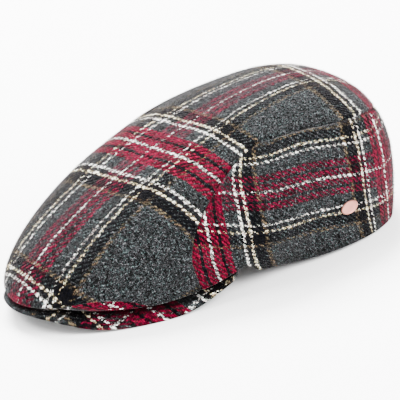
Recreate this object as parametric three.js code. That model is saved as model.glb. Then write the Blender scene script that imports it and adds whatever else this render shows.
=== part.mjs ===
// A soft wool flat cap: three cloth crown panels, a stiff peak under the front and a small badge.
// Millimetres, +Z up, the peak toward -Y, the wearer's left at +X, the cap resting on z = 0.
// Angles run round the crown in degrees: 0 at the front, 90 at the left side, 180 at the back.
import * as THREE from 'three';

// The outlines below are drawn about the middle of the head; this centres the whole cap on the origin.
const CENTRE_SHIFT = 31.76;

// Cloth and seams
const CLOTH = 2.0;              // wall of the crown, one layer of heavy wool
const SEAM_GAP = 0.8;           // space left between two panels at a seam
const SEAM_SINK = 0.7;          // how far a seamed edge dips below the cloth beside it
const HEM_LIFT = 1.3;           // space between the peak's top and the crown's lip
const LEVEL_HEM = 1;            // an edge lower than this is cut level, to stand on

// Highest point of the crown
const APEX = { y: 40.4, z: 102.9 };

// Peak: outer edge and forehead line are half ellipses about one centre
const PEAK_CENTRE_Y = -35;
const PEAK_HALF_WIDTH = 82;
const PEAK_REACH = 144;         // centre to the tip of the peak
const FOREHEAD_HALF_WIDTH = 78;
const FOREHEAD_REACH = 72;      // centre to the middle of the forehead line
const PEAK_THICKNESS = 3.0;
const PEAK_EDGE_ROUND = 0.9;
const PEAK_CORNER_TAPER = 9;    // degrees short of the corner where the peak ends
const FOREHEAD_RISE = 7.5;      // forehead line's middle above its corners

// Badge: a plain oval plate on the left side
const BADGE = { angle: 115, height: -0.28, width: 14, tall: 9.5, thick: 1.6, bevel: 0.5, standoff: 0.9 };

// Shape of the crown by angle: plan radius and height where it is widest,
// how slowly it leaves the wall (shoulder) and how full it stays above (fullness).
const SECTIONS = [
  { angle: 0, radius: 177, widest: 19, shoulder: 1.32, fullness: 1.2 },
  { angle: 30, radius: 130.5, widest: 29, shoulder: 1.12, fullness: 1.04 },
  { angle: 60, radius: 98.2, widest: 40, shoulder: 1.12, fullness: 0.985 },
  { angle: 90, radius: 89.5, widest: 46.5, shoulder: 1.05, fullness: 0.985 },
  { angle: 120, radius: 99.2, widest: 45, shoulder: 0.93, fullness: 0.98 },
  { angle: 150, radius: 116.5, widest: 39, shoulder: 0.68, fullness: 0.97 },
  { angle: 180, radius: 115.5, widest: 39.5, shoulder: 0.54, fullness: 0.99 },
];

// Rim of the head opening behind the peak: radius and height of its lower edge
const RIM = [
  { angle: 55, radius: 88, height: 15 },
  { angle: 66, radius: 84, height: 11.6 },
  { angle: 78, radius: 78, height: 7.8 },
  { angle: 90, radius: 77.2, height: 5.4 },
  { angle: 105, radius: 83, height: 3.8 },
  { angle: 120, radius: 92, height: 2.5 },
  { angle: 135, radius: 103.5, height: 0.9 },
  { angle: 148, radius: 112, height: 0 },
  { angle: 165, radius: 112, height: 0 },
  { angle: 180, radius: 109, height: 0 },
];
const RIM_START = 60;           // the lip leaves the peak here
const RIM_FULL = 68;            // and is wholly the rim from here

// Peak's outer edge, by angle about its own centre: height of the underside, and how
// far in from the edge (as a share of the peak's depth) the crown's lip lies on it.
const PEAK_EDGE = [
  { angle: 0, height: 12, lip: 0.04 },
  { angle: 15, height: 11, lip: 0.085 },
  { angle: 30, height: 5.8, lip: 0.2 },
  { angle: 45, height: 0.5, lip: 0.25 },
  { angle: 60, height: -0.39, lip: 0.28 },
  { angle: 75, height: 6, lip: 0.26 },
  { angle: 90, height: 16.5, lip: 0.1 },
];

// Side seam from the rim to the centre back. Height is the crown's own scale:
// -1 at the lower edge, 0 where it is widest, 1 at the apex.
const SEAM = [
  { angle: 44, height: -1 },
  { angle: 43.1, height: -0.5 },
  { angle: 42.6, height: -0.15 },
  { angle: 42.7, height: 0.08 },
  { angle: 44.3, height: 0.24 },
  { angle: 47.3, height: 0.35 },
  { angle: 51.4, height: 0.44 },
  { angle: 56.6, height: 0.515 },
  { angle: 63.5, height: 0.565 },
  { angle: 73, height: 0.585 },
  { angle: 85, height: 0.566 },
  { angle: 100, height: 0.535 },
  { angle: 115, height: 0.505 },
  { angle: 130, height: 0.455 },
  { angle: 142, height: 0.39 },
  { angle: 152, height: 0.3 },
  { angle: 162, height: 0.215 },
  { angle: 172, height: 0.16 },
  { angle: 180, height: 0.145 },
];
const SHOULDER_ROW = 8;         // where the seam turns from climbing to running back
const REAR_ROW = 15;            // where the top panel's rear corner sits

// Mesh density
const TOP_GRID = { across: 26, along: 40 };
const SIDE_GRID = { along: 40, up: 12 };
const PEAK_GRID = { around: 44, deep: 5 };

const RAD = Math.PI / 180;
const clamp = (x, low, high) => Math.min(high, Math.max(low, x));
const smoothStep = (x) => x * x * (3 - 2 * x);

/** Even cosine series through evenly spaced rows, smooth across both ends. */
function evenSeries(rows, key) {
  const last = rows.length - 1;
  const weights = rows.map((_, k) => {
    let sum = 0;
    rows.forEach((row, j) => {
      const share = j === 0 || j === last ? 0.5 : 1;
      sum += share * row[key] * Math.cos((Math.PI * k * j) / last);
    });
    return ((k === 0 || k === last ? 1 : 2) * sum) / last;
  });
  const step = rows[1].angle - rows[0].angle;
  return (angle) => {
    const turn = (Math.PI * angle) / (step * last);
    return weights.reduce((sum, weight, k) => sum + weight * Math.cos(k * turn), 0);
  };
}

/** Smooth curve through unevenly spaced rows; `at` names the column measured along. */
function smoothRows(rows, key, at = 'angle') {
  const slope = rows.map((_, i) => {
    const before = rows[Math.max(0, i - 1)];
    const after = rows[Math.min(rows.length - 1, i + 1)];
    return (after[key] - before[key]) / (after[at] - before[at]);
  });
  return (x) => {
    let k = 0;
    while (k < rows.length - 2 && x > rows[k + 1][at]) {
      k += 1;
    }
    const span = rows[k + 1][at] - rows[k][at];
    const t = clamp((x - rows[k][at]) / span, 0, 1);
    const t2 = t * t;
    const t3 = t2 * t;
    return (2 * t3 - 3 * t2 + 1) * rows[k][key]
      + (t3 - 2 * t2 + t) * span * slope[k]
      + (3 * t2 - 2 * t3) * rows[k + 1][key]
      + (t3 - t2) * span * slope[k + 1];
  };
}

// ---- peak ----

const peakHeight = evenSeries(PEAK_EDGE, 'height');
const lipShare = evenSeries(PEAK_EDGE, 'lip');

/** Point on the peak's underside: share 0 at the outer edge, 1 at the forehead line. */
function peakUnderside(angle, share) {
  const turn = Math.abs(angle);
  const side = Math.sin(angle * RAD);
  const fore = Math.cos(angle * RAD);
  const edge = new THREE.Vector3(
    PEAK_HALF_WIDTH * side,
    PEAK_CENTRE_Y - PEAK_REACH * fore,
    peakHeight(turn),
  );
  const forehead = new THREE.Vector3(
    FOREHEAD_HALF_WIDTH * side,
    PEAK_CENTRE_Y - FOREHEAD_REACH * fore,
    peakHeight(90) + FOREHEAD_RISE * fore * fore,
  );
  return edge.lerp(forehead, share);
}

/** Height of the peak's top at a plan position. */
function peakTop(x, y) {
  let low = -0.2;
  let high = 1.2;
  for (let i = 0; i < 24; i += 1) {
    const share = (low + high) / 2;
    const across = x / (PEAK_HALF_WIDTH + (FOREHEAD_HALF_WIDTH - PEAK_HALF_WIDTH) * share);
    const fore = (y - PEAK_CENTRE_Y) / (PEAK_REACH + (FOREHEAD_REACH - PEAK_REACH) * share);
    if (across * across + fore * fore < 1) {
      low = share;
    } else {
      high = share;
    }
  }
  const reach = PEAK_REACH + (FOREHEAD_REACH - PEAK_REACH) * low;
  const angle = Math.acos(clamp((PEAK_CENTRE_Y - y) / reach, 0, 1)) / RAD;
  return peakUnderside(angle, low).z + PEAK_THICKNESS;
}

/** Radius of the crown's lip on the peak, listed by angle round the crown. */
const LIP = [];
for (let turn = 0; turn < 90; turn += 1) {
  const point = peakUnderside(turn, lipShare(turn));
  LIP.push({ angle: Math.atan2(point.x, -point.y) / RAD, radius: Math.hypot(point.x, point.y) });
}
const lipRadius = smoothRows(LIP, 'radius');

/** Height at which the cloth's edge clears the peak on both its faces. */
function lipHeight(angle) {
  const place = (turn) => {
    const radius = lipRadius(Math.abs(turn));
    return new THREE.Vector2(radius * Math.sin(turn * RAD), -radius * Math.cos(turn * RAD));
  };
  const point = place(angle);
  const along = place(angle + 1).sub(place(angle - 1)).normalize();
  const inside = point.clone().add(new THREE.Vector2(-along.y, along.x).multiplyScalar(CLOTH * 1.1));
  return Math.max(peakTop(point.x, point.y), peakTop(inside.x, inside.y)) + HEM_LIFT;
}

// ---- crown surface ----

const planRadius = evenSeries(SECTIONS, 'radius');
const widestHeight = evenSeries(SECTIONS, 'widest');
const shoulder = evenSeries(SECTIONS, 'shoulder');
const fullness = evenSeries(SECTIONS, 'fullness');
const rimRadius = smoothRows(RIM, 'radius');
const rimHeight = smoothRows(RIM, 'height');

/** Lower edge of the crown: the lip over the peak, then the rim of the head opening. */
function lowerEdge(angle) {
  const turn = Math.abs(angle);
  const rim = smoothStep(clamp((turn - RIM_START) / (RIM_FULL - RIM_START), 0, 1));
  const radius = lipRadius(turn) * (1 - rim) + rimRadius(turn) * rim;
  const height = lipHeight(turn) * (1 - rim) + Math.max(rimHeight(turn), 0) * rim;
  return { radius, height };
}

/** Outside of the crown at an angle and a height from -1 (lower edge) to 1 (apex). */
function crownPoint(angle, height) {
  const turn = Math.abs(angle);
  const side = Math.sin(angle * RAD);
  const back = -Math.cos(angle * RAD);
  const radius = planRadius(turn);
  const widest = widestHeight(turn);
  if (height < 0) {
    const low = lowerEdge(angle);
    const reach = radius + (low.radius - radius) * height * height;
    return new THREE.Vector3(reach * side, reach * back, widest - (low.height - widest) * height);
  }
  const climb = (Math.min(height, 1) * Math.PI) / 2;
  const out = height >= 1 ? 0 : Math.cos(climb) ** fullness(turn);
  const up = Math.sin(climb) ** shoulder(turn);
  return new THREE.Vector3(
    radius * side * out,
    APEX.y + (radius * back - APEX.y) * out,
    widest + (APEX.z - widest) * up,
  );
}

// The crown laid out flat as a disc: apex at the centre, widest line at WAIST, lower edge at 1.
const WAIST = 0.72;

function toDisc({ angle, height }) {
  const reach = height < 0 ? WAIST - (1 - WAIST) * height : WAIST * (1 - height);
  return [reach * Math.sin(angle * RAD), -reach * Math.cos(angle * RAD)];
}

function fromDisc([x, y]) {
  const reach = Math.min(1, Math.hypot(x, y));
  const height = reach > WAIST ? -(reach - WAIST) / (1 - WAIST) : 1 - reach / WAIST;
  return crownPoint(Math.atan2(x, -y) / RAD, height);
}

/** Outward direction of the crown at a point of the disc. */
function outward([x, y]) {
  const step = 0.004;
  const edge = 1 - step;
  const reach = Math.hypot(x, y);
  const hold = reach > edge ? edge / reach : 1;
  const cx = x * hold;
  const cy = y * hold;
  const alongX = fromDisc([cx + step, cy]).sub(fromDisc([cx - step, cy]));
  const alongY = fromDisc([cx, cy + step]).sub(fromDisc([cx, cy - step]));
  return alongX.cross(alongY).normalize();
}

// ---- panel outlines on the disc ----

/** Evenly spaced walk along a curve given by rows, measured on the crown itself. */
function evenWalk(rows) {
  const numbered = rows.map((row, index) => ({ ...row, index }));
  const angleAt = smoothRows(numbered, 'angle', 'index');
  const heightAt = smoothRows(numbered, 'height', 'index');
  const fine = 12 * (rows.length - 1);
  const stops = [];
  let length = 0;
  let previous = null;
  for (let i = 0; i <= fine; i += 1) {
    const index = (i * (rows.length - 1)) / fine;
    const row = { angle: angleAt(index), height: heightAt(index) };
    const point = crownPoint(row.angle, row.height);
    length += previous ? point.distanceTo(previous) : 0;
    stops.push({ length, spot: toDisc(row) });
    previous = point;
  }
  return (share) => {
    const goal = clamp(share, 0, 1) * length;
    let k = 1;
    while (k < fine && stops[k].length < goal) {
      k += 1;
    }
    const low = stops[k - 1];
    const high = stops[k];
    const t = (goal - low.length) / (high.length - low.length);
    return low.spot.map((value, axis) => value + t * (high.spot[axis] - value));
  };
}

const mirrorRow = (row) => ({ angle: -row.angle, height: row.height });
const mirrorSpot = ([x, y]) => [-x, y];

/** Rows along the lower edge between two angles. */
function edgeRows(from, to, count) {
  return Array.from({ length: count + 1 }, (_, i) => ({
    angle: from + ((to - from) * i) / count,
    height: -1,
  }));
}

/** Blend four outline curves into a patch over (u, v), each from 0 to 1. */
function patch(bottom, top, left, right) {
  const corners = [bottom(0), bottom(1), top(0), top(1)];
  return (u, v) => [0, 1].map((axis) => {
    const rails = (1 - v) * bottom(u)[axis] + v * top(u)[axis];
    const rungs = (1 - u) * left(v)[axis] + u * right(v)[axis];
    const base = (1 - v) * ((1 - u) * corners[0][axis] + u * corners[1][axis])
      + v * ((1 - u) * corners[2][axis] + u * corners[3][axis]);
    return rails + rungs - base;
  });
}

/** Grid shares with a narrow strip at each end, for the dip beside a seam. */
function shares(count, strip) {
  return Array.from({ length: count + 1 }, (_, i) => {
    if (i === 0 || i === count) {
      return i / count;
    }
    return strip + ((1 - 2 * strip) * (i - 1)) / (count - 2);
  });
}

/**
 * Closed cloth panel over a grid of disc spots. `seams` says which sides are sewn:
 * those edges draw back half the seam gap and dip; the others are cut level as a hem.
 */
function clothPanel(name, spots, seams) {
  const rows = spots.length;
  const columns = spots[0].length;
  const outer = spots.map((row) => row.map(fromDisc));
  const normals = spots.map((row) => row.map(outward));
  const inner = outer.map((row, i) => row.map((point, j) => {
    const inward = normals[i][j].clone();
    if (i === 0 && !seams.first && Math.abs(point.z) < LEVEL_HEM) {
      point.setZ(Math.round(point.z * 10) / 10);
      inward.setZ(0).normalize();
    }
    return point.clone().addScaledVector(inward, -CLOTH);
  }));

  const drawBack = (i, j, di, dj) => {
    for (const layer of [outer, inner]) {
      const edge = layer[i][j];
      const beside = layer[i + di][j + dj].clone();
      const pull = beside.sub(edge).normalize().multiplyScalar(SEAM_GAP / 2);
      edge.add(pull).addScaledVector(normals[i][j], -SEAM_SINK);
    }
  };
  for (let j = 0; j < columns; j += 1) {
    if (seams.first) {
      drawBack(0, j, 1, 0);
    }
    if (seams.last) {
      drawBack(rows - 1, j, -1, 0);
    }
  }
  for (let i = 0; i < rows; i += 1) {
    if (seams.left) {
      drawBack(i, 0, 0, 1);
    }
    if (seams.right) {
      drawBack(i, columns - 1, 0, -1);
    }
  }

  const points = [...outer.flat(), ...inner.flat()];
  const at = (layer, i, j) => layer * rows * columns + i * columns + j;
  const faces = [];
  const quad = (a, b, c, d) => faces.push(a, b, c, a, c, d);
  for (let i = 0; i < rows - 1; i += 1) {
    for (let j = 0; j < columns - 1; j += 1) {
      quad(at(0, i, j), at(0, i, j + 1), at(0, i + 1, j + 1), at(0, i + 1, j));
      quad(at(1, i, j), at(1, i + 1, j), at(1, i + 1, j + 1), at(1, i, j + 1));
    }
  }
  for (let j = 0; j < columns - 1; j += 1) {
    quad(at(1, 0, j), at(1, 0, j + 1), at(0, 0, j + 1), at(0, 0, j));
    quad(at(0, rows - 1, j), at(0, rows - 1, j + 1), at(1, rows - 1, j + 1), at(1, rows - 1, j));
  }
  for (let i = 0; i < rows - 1; i += 1) {
    quad(at(0, i, 0), at(0, i + 1, 0), at(1, i + 1, 0), at(1, i, 0));
    quad(at(1, i, columns - 1), at(1, i + 1, columns - 1), at(0, i + 1, columns - 1), at(0, i, columns - 1));
  }
  return solid(name, points, faces);
}

/** Mesh from points and triangle corners. */
function solid(name, points, faces, material = CLOTH_MATERIAL) {
  const geometry = new THREE.BufferGeometry();
  geometry.setAttribute('position', new THREE.Float32BufferAttribute(points.flatMap((p) => p.toArray()), 3));
  geometry.setIndex(faces);
  geometry.computeVertexNormals();
  const mesh = new THREE.Mesh(geometry, material());
  mesh.name = name;
  mesh.position.y = CENTRE_SHIFT;
  return mesh;
}

const CLOTH_MATERIAL = () => new THREE.MeshStandardMaterial({ color: 0x5f5a5c, roughness: 0.95 });
const METAL_MATERIAL = () => new THREE.MeshStandardMaterial({ color: 0xc8a096, roughness: 0.35, metalness: 0.9 });

// ---- the pieces ----

function topPanel() {
  const climb = evenWalk(SEAM.slice(0, REAR_ROW + 1));
  const rearRows = SEAM.slice(REAR_ROW);
  const farRows = [...rearRows].reverse().slice(1).map(mirrorRow).map((row) => ({ ...row, angle: row.angle + 360 }));
  const rear = evenWalk([...rearRows, ...farRows]);
  const front = evenWalk(edgeRows(-SEAM[0].angle, SEAM[0].angle, 24));
  const surface = patch(front, (u) => rear(1 - u), (v) => mirrorSpot(climb(v)), climb);
  const alongShares = shares(TOP_GRID.along, 0.012);
  const acrossShares = shares(TOP_GRID.across, 0.018);
  const spots = alongShares.map((v) => acrossShares.map((u) => surface(u, v)));
  return clothPanel('top_panel', spots, { first: false, last: true, left: true, right: true });
}

function sidePanel(name, mirrored) {
  const hand = mirrored ? mirrorRow : (row) => row;
  const hem = evenWalk(edgeRows(SEAM[0].angle, 180, 30).map(hand));
  const top = evenWalk(SEAM.slice(SHOULDER_ROW).map(hand));
  const front = evenWalk(SEAM.slice(0, SHOULDER_ROW + 1).map(hand));
  const backTop = SEAM[SEAM.length - 1].height;
  const back = evenWalk(Array.from({ length: 7 }, (_, i) => hand({
    angle: 180,
    height: -1 + ((backTop + 1) * i) / 6,
  })));
  const surface = patch(hem, top, front, back);
  const alongShares = shares(SIDE_GRID.along, 0.01);
  const upShares = shares(SIDE_GRID.up, 0.03);
  const spots = upShares.map((v) => {
    const row = alongShares.map((u) => surface(u, v));
    return mirrored ? row.reverse() : row;
  });
  return clothPanel(name, spots, { first: false, last: true, left: true, right: true });
}

function peak() {
  const sweep = 90 - PEAK_CORNER_TAPER;
  const { around, deep } = PEAK_GRID;
  const points = [];
  const rings = [];
  for (let i = 0; i <= around; i += 1) {
    const angle = -sweep + (2 * sweep * i) / around;
    const depth = peakUnderside(angle, 0).distanceTo(peakUnderside(angle, 1));
    const round = PEAK_EDGE_ROUND / depth;
    const under = Array.from({ length: deep + 1 }, (_, k) => round + ((1 - 2 * round) * k) / deep);
    const ring = [
      ...under.map((share) => peakUnderside(angle, share)),
      peakUnderside(angle, 1).setZ(peakUnderside(angle, 1).z + PEAK_THICKNESS / 2),
      ...[...under].reverse().map((share) => {
        const point = peakUnderside(angle, share);
        return point.setZ(point.z + PEAK_THICKNESS);
      }),
      peakUnderside(angle, 0).setZ(peakUnderside(angle, 0).z + PEAK_THICKNESS / 2),
    ];
    rings.push(ring.map((point) => points.push(point) - 1));
  }
  const faces = [];
  const size = rings[0].length;
  for (let i = 0; i < around; i += 1) {
    for (let k = 0; k < size; k += 1) {
      const n = (k + 1) % size;
      faces.push(rings[i][k], rings[i + 1][n], rings[i + 1][k]);
      faces.push(rings[i][k], rings[i][n], rings[i + 1][n]);
    }
  }
  for (const [ring, flip] of [[rings[0], true], [rings[around], false]]) {
    for (let k = 0; k < deep; k += 1) {
      const quad = [ring[k], ring[k + 1], ring[size - 3 - k], ring[size - 2 - k]];
      const [a, b, c, d] = flip ? quad.reverse() : quad;
      faces.push(a, b, c, a, c, d);
    }
    const tail = [ring[deep], ring[deep + 1], ring[deep + 2]];
    const nose = [ring[size - 2], ring[size - 1], ring[0]];
    for (const corner of [tail, nose]) {
      faces.push(...(flip ? corner.reverse() : corner));
    }
  }
  return solid('peak', points, faces);
}

function badge() {
  const spot = toDisc(BADGE);
  const normal = outward(spot);
  const centre = fromDisc(spot).addScaledVector(normal, BADGE.standoff);
  const up = new THREE.Vector3(0, 0, 1).addScaledVector(normal, -normal.z).normalize();
  const along = new THREE.Vector3().crossVectors(up, normal);
  const sides = 40;
  const levels = [
    { lift: 0, inset: BADGE.bevel },
    { lift: BADGE.bevel, inset: 0 },
    { lift: BADGE.thick - BADGE.bevel, inset: 0 },
    { lift: BADGE.thick, inset: BADGE.bevel },
  ];
  const points = levels.flatMap(({ lift, inset }) => Array.from({ length: sides }, (_, k) => {
    const turn = (2 * Math.PI * k) / sides;
    return centre.clone()
      .addScaledVector(along, (BADGE.width / 2 - inset) * Math.cos(turn))
      .addScaledVector(up, (BADGE.tall / 2 - inset) * Math.sin(turn))
      .addScaledVector(normal, lift);
  }));
  const back = points.push(centre.clone()) - 1;
  const front = points.push(centre.clone().addScaledVector(normal, BADGE.thick)) - 1;
  const faces = [];
  const top = (levels.length - 1) * sides;
  for (let k = 0; k < sides; k += 1) {
    const n = (k + 1) % sides;
    for (let level = 0; level < top; level += sides) {
      faces.push(level + k, level + n, level + sides + n);
      faces.push(level + k, level + sides + n, level + sides + k);
    }
    faces.push(back, n, k);
    faces.push(front, top + k, top + n);
  }
  return solid('badge', points, faces, METAL_MATERIAL);
}

const cap = new THREE.Group();
cap.name = 'flat_cap';
cap.add(topPanel(), sidePanel('side_panel_left', false), sidePanel('side_panel_right', true), peak(), badge());

export default cap;
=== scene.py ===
import math

import bpy
import numpy as np
from mathutils import Euler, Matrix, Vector, noise


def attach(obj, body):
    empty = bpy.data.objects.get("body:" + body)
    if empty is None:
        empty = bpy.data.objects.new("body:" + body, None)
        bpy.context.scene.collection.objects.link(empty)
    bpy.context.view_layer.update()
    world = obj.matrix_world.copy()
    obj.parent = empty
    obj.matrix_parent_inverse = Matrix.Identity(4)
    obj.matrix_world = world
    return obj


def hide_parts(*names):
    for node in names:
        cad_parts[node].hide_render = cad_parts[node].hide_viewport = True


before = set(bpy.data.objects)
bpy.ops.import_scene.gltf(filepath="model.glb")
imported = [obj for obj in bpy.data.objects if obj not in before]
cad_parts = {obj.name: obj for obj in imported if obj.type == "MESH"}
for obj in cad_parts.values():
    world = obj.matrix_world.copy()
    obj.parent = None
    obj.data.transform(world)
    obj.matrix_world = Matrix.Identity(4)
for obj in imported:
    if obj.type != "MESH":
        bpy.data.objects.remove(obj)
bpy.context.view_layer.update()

RAD = math.pi / 180
CENTRE_SHIFT = 31.76


def table(names, *rows):
    """Rows of sizes under one heading, each as a dict."""
    return [dict(zip(names.split(), row)) for row in rows]


# ---- driving sizes: the crown and the peak, as the solids have them ----

CLOTH = 2.0
HEM_LIFT = 1.3
APEX_Y, APEX_Z = 40.4, 102.9
PEAK_CENTRE_Y = -35.0
PEAK_HALF_WIDTH, PEAK_REACH = 82.0, 144.0
FOREHEAD_HALF_WIDTH, FOREHEAD_REACH = 78.0, 72.0
FOREHEAD_RISE = 7.5
PEAK_THICKNESS = 3.0
PEAK_CORNER_TAPER = 9.0
RIM_START, RIM_FULL = 60.0, 68.0          # between these the lip gives way to the rim
LIP_DEPTH = 1.1           # the lip clears the peak this many thicknesses in
WAIST = 0.72              # the crown's widest line on its flat disc
PEAK_HALVINGS, CROWN_HALVINGS = 24, 30    # steps in finding a place on them by halving
WALK_STEPS = 12           # steps of a walk between two rows

# Angles are in degrees from straight ahead, 0, round to the back, 180. SECTIONS shapes the crown
# and RIM its edge round the head; PEAK_EDGE is the peak's outer edge, and SEAM where the top meets
# a side, at heights from -1 (lower edge) through 0 (widest line) to 1 (apex).
SECTIONS = table(
    "angle radius widest shoulder fullness",
    (0, 177, 19, 1.32, 1.2),
    (30, 130.5, 29, 1.12, 1.04),
    (60, 98.2, 40, 1.12, 0.985),
    (90, 89.5, 46.5, 1.05, 0.985),
    (120, 99.2, 45, 0.93, 0.98),
    (150, 116.5, 39, 0.68, 0.97),
    (180, 115.5, 39.5, 0.54, 0.99),
)
RIM = table(
    "angle radius height",
    (55, 88, 15),
    (66, 84, 11.6),
    (78, 78, 7.8),
    (90, 77.2, 5.4),
    (105, 83, 3.8),
    (120, 92, 2.5),
    (135, 103.5, 0.9),
    (148, 112, 0),
    (165, 112, 0),
    (180, 109, 0),
)
PEAK_EDGE = table(
    "angle height lip",
    (0, 12, 0.04),
    (15, 11, 0.085),
    (30, 5.8, 0.2),
    (45, 0.5, 0.25),
    (60, -0.39, 0.28),
    (75, 6, 0.26),
    (90, 16.5, 0.1),
)
SEAM = table(
    "angle height",
    (44, -1),
    (43.1, -0.5),
    (42.6, -0.15),
    (42.7, 0.08),
    (44.3, 0.24),
    (47.3, 0.35),
    (51.4, 0.44),
    (56.6, 0.515),
    (63.5, 0.565),
    (73, 0.585),
    (85, 0.566),
    (100, 0.535),
    (115, 0.505),
    (130, 0.455),
    (142, 0.39),
    (152, 0.3),
    (162, 0.215),
    (172, 0.16),
    (180, 0.145),
)
SHOULDER_ROW = 8
REAR_ROW = 15

# Over the peak's front corners the crown's cloth ends higher, at `fold`, and a narrow facing of the
# same cloth is set back under it. Heights run from -1 (lower edge) to 0 (widest line).
LIP_FOLD = table(
    "angle fold edge",
    (9.5, -1.0, -1.0),
    (11, -0.45, -0.97),
    (13, -0.06, -0.94),
    (16, -0.03, -0.9),
    (18.5, -0.07, -0.88),
    (22, -0.32, -0.9),
    (25, -0.53, -0.94),
    (27.5, -0.8, -0.98),
    (29.5, -1.0, -1.0),
)

# ---- driving sizes: cloth ----

SEAM_DEPTH = 1.5          # how far the cloth dives where two panels are sewn
SEAM_ROLL, SEAM_STEEP = 1.7, 1.6          # how far from the seam the dive starts, and how steeply
SWELL = 0.22              # the cloth swells beside a seam,
SWELL_PLACE, SWELL_WIDTH = 4.5, 2.6       # this far from it and this wide,
PUCKER, PUCKER_STEP = 0.25, 3.1           # and more or less so along the seam
HEM_FOLD = 1.1            # extra thickness of the turned-in edge
HEM_DEPTH, HEM_EASE = 11.0, 2.0           # how far in the turned edge reaches, and how softly it ends
HEM_BENDS, HEM_ROUND = 5, 0.55            # steps round the turned edge, and how full it is
HEM_TAKE = 1.6            # cloth taken up by each of those steps
FACING_INSET = 1.3        # how far the lip's facing is set back
FACING_TUCK = 0.16        # and how far it runs up behind the crown's cloth, as a height
FACING_FLARE, FACING_ROUND = 1.4, 0.6     # how far its lower edge stands out again, and how roundly
FUZZ_CLEAR = 2.4          # no fuzz lower than this
FUZZ_DENSITY = 1.9        # fibres on each square millimetre
FUZZ_LENGTH, FUZZ_WIDTH = 1.35, 0.06
FUZZ_LEAN, FUZZ_STRAY = 0.95, 0.5         # lean from upright and its spread, in radians
YARN = 1.05               # spacing of the yarns
RELIEF = 0.45             # soft unevenness of the cloth
CALM_EDGE = 14.0          # it dies out this near an edge
BROAD_LUMPS, SMALL_LUMPS, SMALL_SHARE = 0.024, 0.062, 0.45    # lumps in a millimetre, and their mix


def column(rows, key):
    return np.array([row[key] for row in rows], float)


def walked(points):
    """Distance along a line of points, at each of them."""
    return np.r_[0, np.cumsum(np.linalg.norm(np.diff(points, axis=0), axis=1))]


def smooth_step(x):
    x = np.clip(x, 0, 1)
    return x * x * (3 - 2 * x)


def even_series(rows, key):
    """Even cosine series through evenly spaced rows, smooth across both ends."""
    last = len(rows) - 1
    k = np.arange(last + 1)
    ends = np.where((k == 0) | (k == last), 0.5, 1.0)
    turns = np.cos(np.pi * np.outer(k, k) / last)
    weights = (turns * (column(rows, key) * ends)).sum(1) * ends * 2 / last
    span = (rows[1]["angle"] - rows[0]["angle"]) * last

    def value(angle):
        angle = np.asarray(angle, float)
        return (weights * np.cos(np.pi * angle[..., None] / span * k)).sum(-1)
    return value


def smooth_rows(rows, key, at="angle"):
    """Smooth curve through unevenly spaced rows; `at` names the column measured along."""
    x, y = column(rows, at), column(rows, key)
    before = np.maximum(np.arange(len(x)) - 1, 0)
    after = np.minimum(np.arange(len(x)) + 1, len(x) - 1)
    slope = (y[after] - y[before]) / (x[after] - x[before])

    def value(a):
        a = np.asarray(a, float)
        k = np.clip(np.searchsorted(x, a, side="left") - 1, 0, len(x) - 2)
        h = x[k + 1] - x[k]
        t = np.clip((a - x[k]) / h, 0, 1)
        t2, t3 = t * t, t * t * t
        return ((2 * t3 - 3 * t2 + 1) * y[k] + (t3 - 2 * t2 + t) * h * slope[k]
                + (3 * t2 - 2 * t3) * y[k + 1] + (t3 - t2) * h * slope[k + 1])
    return value


# ---- the peak's surface ----

peak_height = even_series(PEAK_EDGE, "height")
lip_share = even_series(PEAK_EDGE, "lip")


def peak_underside(angle, share):
    """Points on the peak's underside: share 0 at the outer edge, 1 at the forehead line."""
    angle = np.asarray(angle, float)
    side, fore = np.sin(angle * RAD), np.cos(angle * RAD)
    edge = np.stack([PEAK_HALF_WIDTH * side, PEAK_CENTRE_Y - PEAK_REACH * fore,
                     peak_height(np.abs(angle))], -1)
    brow = np.stack([FOREHEAD_HALF_WIDTH * side, PEAK_CENTRE_Y - FOREHEAD_REACH * fore,
                     peak_height(90.0) + FOREHEAD_RISE * fore * fore], -1)
    return edge + (brow - edge) * np.asarray(share, float)[..., None]


def peak_top(x, y):
    """Height of the peak's top at plan positions."""
    low, high = np.full(np.shape(x), -0.2), np.full(np.shape(x), 1.2)
    for _ in range(PEAK_HALVINGS):
        share = (low + high) / 2
        across = x / (PEAK_HALF_WIDTH + (FOREHEAD_HALF_WIDTH - PEAK_HALF_WIDTH) * share)
        fore = (y - PEAK_CENTRE_Y) / (PEAK_REACH + (FOREHEAD_REACH - PEAK_REACH) * share)
        inside = across * across + fore * fore < 1
        low, high = np.where(inside, share, low), np.where(inside, high, share)
    reach = PEAK_REACH + (FOREHEAD_REACH - PEAK_REACH) * low
    angle = np.arccos(np.clip((PEAK_CENTRE_Y - y) / reach, 0, 1)) / RAD
    return peak_underside(angle, low)[..., 2] + PEAK_THICKNESS


turns = np.arange(0, 90)
lip_points = peak_underside(turns, lip_share(turns))
LIP = [dict(angle=math.atan2(p[0], -p[1]) / RAD, radius=math.hypot(p[0], p[1])) for p in lip_points]
lip_radius = smooth_rows(LIP, "radius")


def lip_height(angle):
    """Height at which the cloth's edge clears the peak on both its faces."""
    def place(turn):
        radius = lip_radius(np.abs(turn))
        return np.stack([radius * np.sin(turn * RAD), -radius * np.cos(turn * RAD)], -1)
    point = place(angle)
    along = place(angle + 1) - place(angle - 1)
    along /= np.linalg.norm(along, axis=-1, keepdims=True)
    inside = point + np.stack([-along[..., 1], along[..., 0]], -1) * CLOTH * LIP_DEPTH
    return np.maximum(peak_top(point[..., 0], point[..., 1]),
                      peak_top(inside[..., 0], inside[..., 1])) + HEM_LIFT


# ---- the crown's surface ----

plan_radius = even_series(SECTIONS, "radius")
widest_height = even_series(SECTIONS, "widest")
shoulder = even_series(SECTIONS, "shoulder")
fullness = even_series(SECTIONS, "fullness")
rim_radius = smooth_rows(RIM, "radius")
rim_height = smooth_rows(RIM, "height")


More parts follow.
